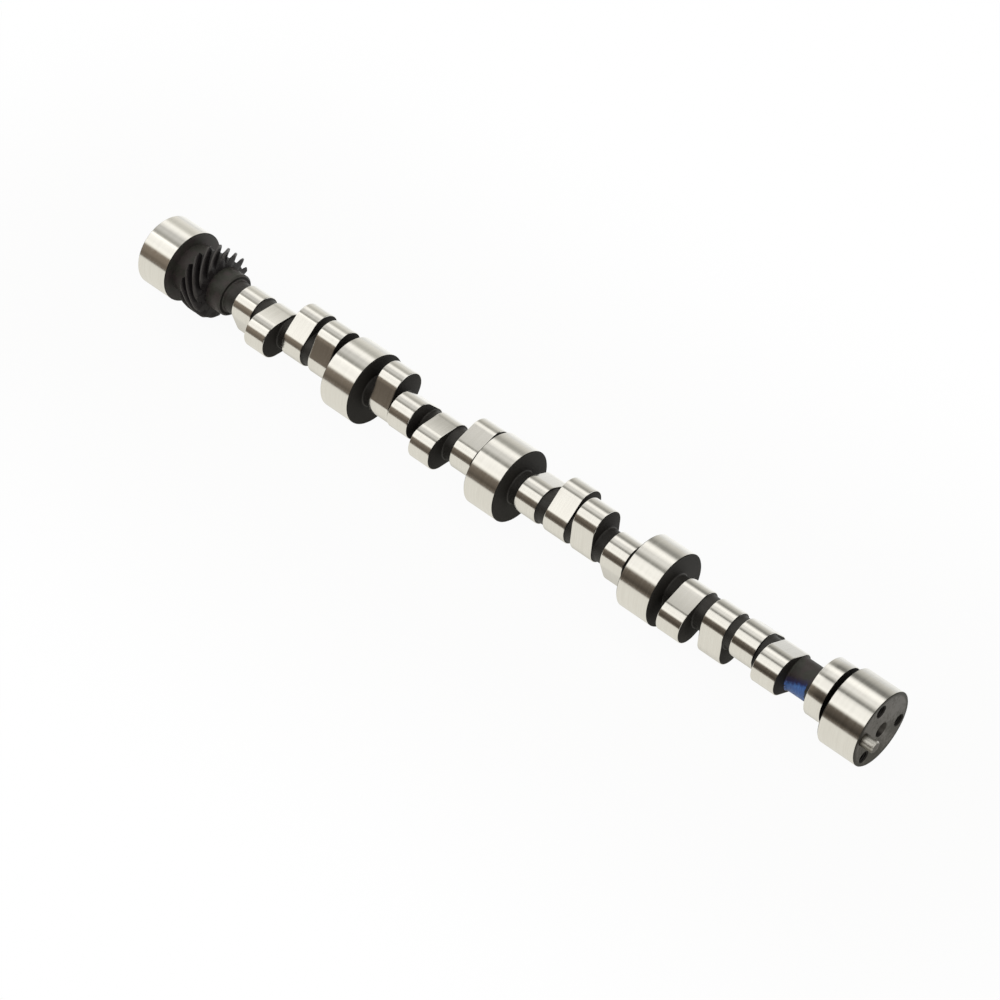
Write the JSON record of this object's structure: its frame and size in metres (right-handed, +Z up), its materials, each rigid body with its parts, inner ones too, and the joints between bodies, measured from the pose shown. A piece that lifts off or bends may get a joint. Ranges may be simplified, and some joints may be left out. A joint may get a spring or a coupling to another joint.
{
  "type": "camshaft",
  "caption": "Solid steel camshaft for a large vee engine: ground journals and roller lobes on a black bar, with a helical distributor gear, a pump eccentric and a dowel in its front face.",
  "frame": {"origin": "middle of the front face, on the shaft's axis", "axes": "+X along the shaft out of its front face; +Z up as the shaft lies"},
  "size_m": [0.5995, 0.0494, 0.0494],
  "materials": {
    "shaft_steel": "ground bright on the journals and lobes, black phosphate everywhere else",
    "dowel_steel": "ground bright"
  },
  "bodies": {
    "root": {"camshaft": "shaft_steel", "dowel_pin": "dowel_steel"}
  },
  "joints": []
}
